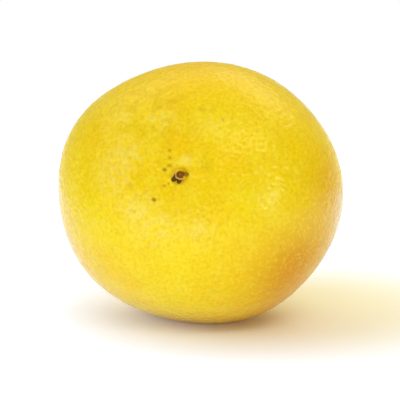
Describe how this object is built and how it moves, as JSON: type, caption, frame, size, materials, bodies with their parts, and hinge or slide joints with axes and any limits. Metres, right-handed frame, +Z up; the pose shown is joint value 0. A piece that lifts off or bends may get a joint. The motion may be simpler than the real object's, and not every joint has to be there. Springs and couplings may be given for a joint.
{
  "type": "grapefruit",
  "caption": "Large round yellow grapefruit with a waxy dimpled peel and a dry stem button in a shallow hollow, lying on its side on a small flat spot.",
  "frame": {"origin": "on the surface that the fruit rests on, straight below the fruit's heart, inside the flat spot", "axes": "+Z up; +X to the right as the picture is seen, near the widest way across the fruit; the stem end looks towards -Y, 20 degrees above level and turned 11 degrees towards -X"},
  "size_m": [0.12, 0.1085, 0.1089],
  "materials": {
    "peel": "waxy yellow citrus peel, finely dimpled with oil glands, satin",
    "dry_stem": "dry brown calyx and cut stem, matte"
  },
  "bodies": {
    "root": {"whole_fruit": "peel", "stem_button": "dry_stem"}
  },
  "joints": []
}
